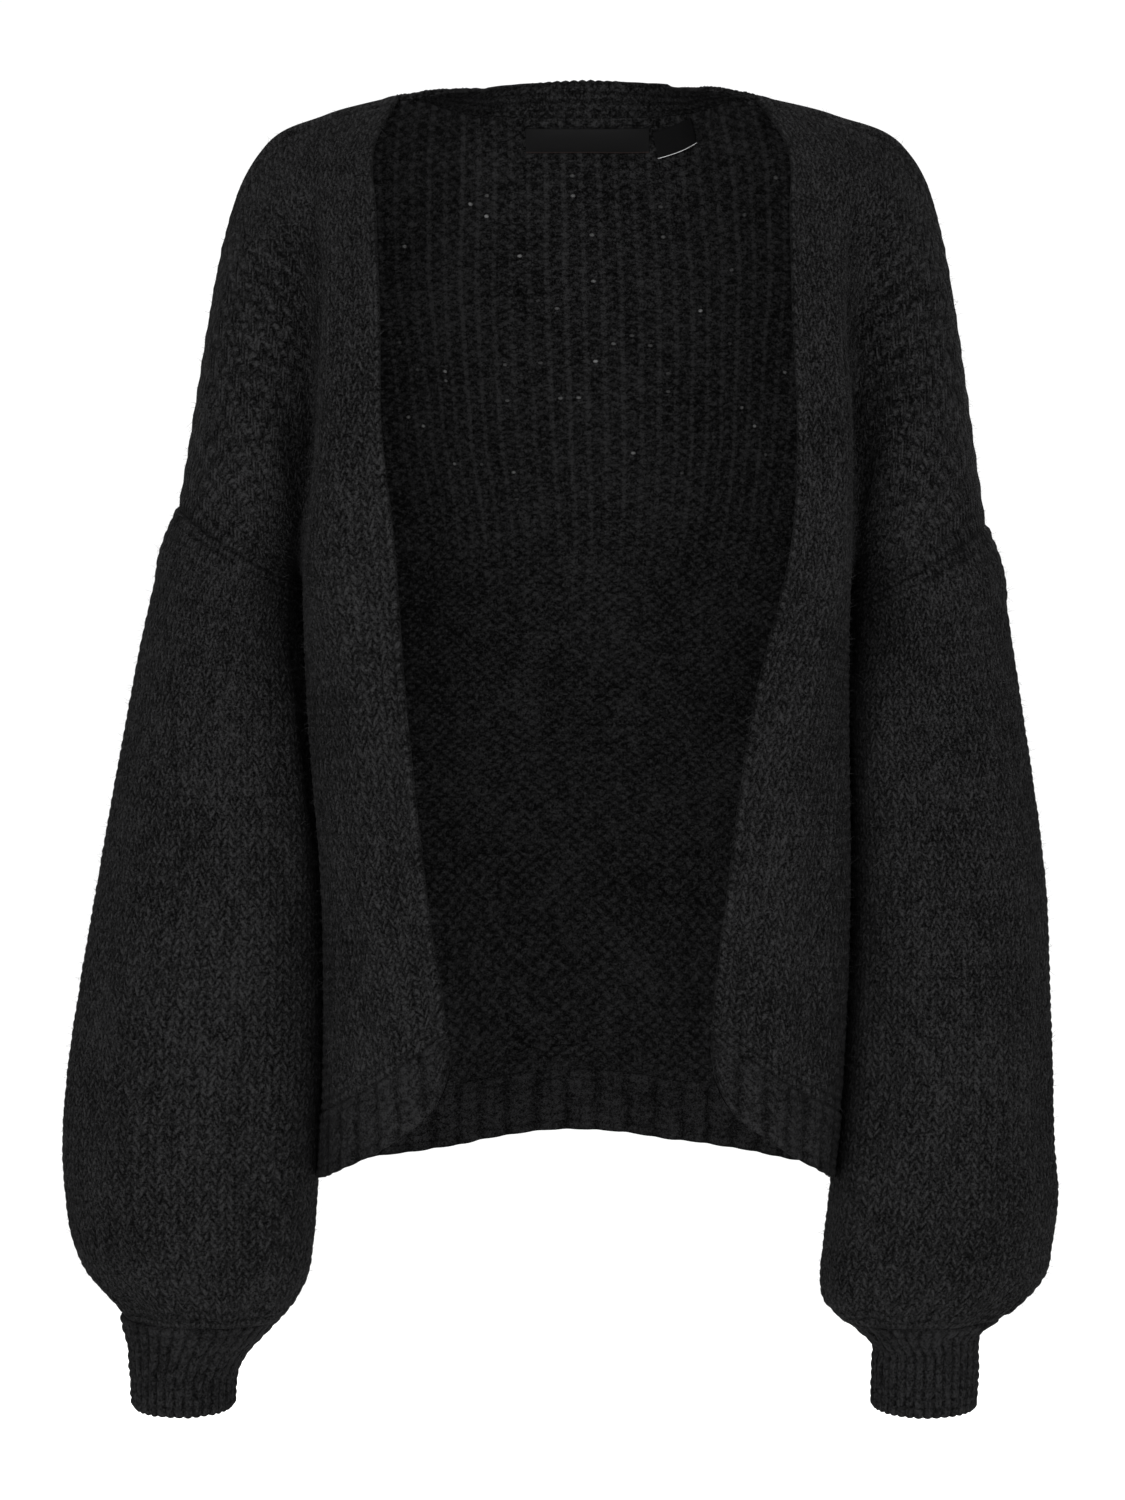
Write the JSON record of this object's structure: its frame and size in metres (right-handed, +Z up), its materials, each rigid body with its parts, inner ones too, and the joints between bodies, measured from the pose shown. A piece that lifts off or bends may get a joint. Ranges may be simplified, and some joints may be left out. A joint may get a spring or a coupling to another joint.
{
  "type": "cardigan",
  "caption": "Open-front cardigan in dark chunky brushed knit, with dropped shoulders, balloon sleeves, ribbed cuffs and hem and a narrow back neckband, hanging hollow as worn.",
  "frame": {"origin": "middle of the neck opening, level with the points where the shoulder seams meet the neck", "axes": "+Z up, from the hem to the neck; the open front faces -Y; +X is at the right of a person who looks at the front"},
  "size_m": [0.5547, 0.2544, 0.7398],
  "materials": {
    "brushed_knit": "soft brushed knit",
    "rib_knit": "soft ribbed knit",
    "woven_satin": "smooth woven satin"
  },
  "bodies": {
    "root": {"back": "brushed_knit", "front_left": "brushed_knit", "front_right": "brushed_knit", "sleeve_left": "brushed_knit", "sleeve_right": "brushed_knit", "cuff_left": "rib_knit", "cuff_right": "rib_knit", "hem_back": "rib_knit", "hem_front_left": "rib_knit", "hem_front_right": "rib_knit", "neckband": "rib_knit", "neck_label": "woven_satin", "care_tab": "woven_satin"}
  },
  "joints": []
}
